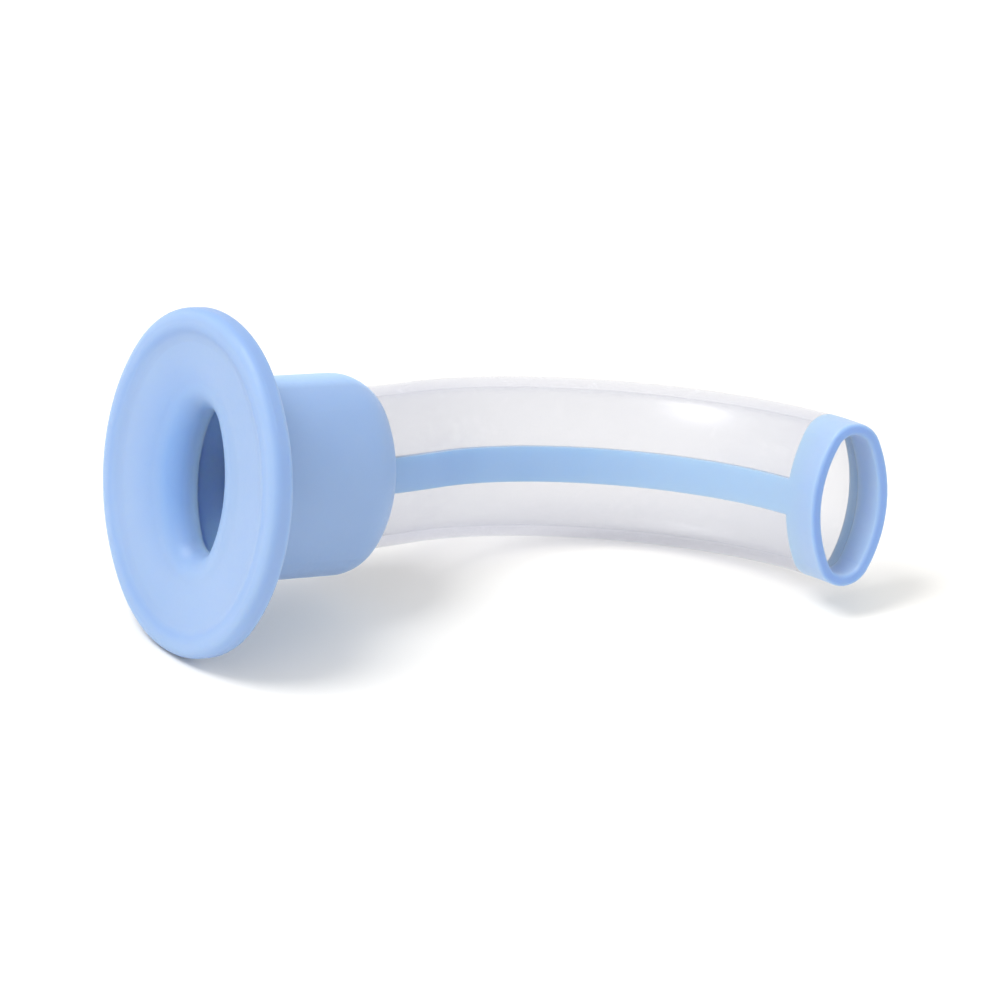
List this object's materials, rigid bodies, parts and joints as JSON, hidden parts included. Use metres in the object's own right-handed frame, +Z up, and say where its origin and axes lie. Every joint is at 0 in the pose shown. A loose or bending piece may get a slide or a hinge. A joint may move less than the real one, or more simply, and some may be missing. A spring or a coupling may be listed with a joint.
{
  "type": "oropharyngeal airway",
  "caption": "Small oropharyngeal airway: an oval dished flange, an oval bite block and a hooked flattened clear tube with a soft blue ring at its tip, lying on its side.",
  "frame": {"origin": "centre of the bounding box at its lowest point, on the surface that the part lies on", "axes": "+Z up from that surface; +X from the flange towards the bend, along the longest extent; the tip points to -Y"},
  "size_m": [0.0594, 0.0382, 0.0289],
  "materials": {
    "soft_blue": "satin",
    "clear_tube": "polished"
  },
  "bodies": {
    "root": {"soft_overmould": "soft_blue", "airway_tube": "clear_tube"}
  },
  "joints": []
}
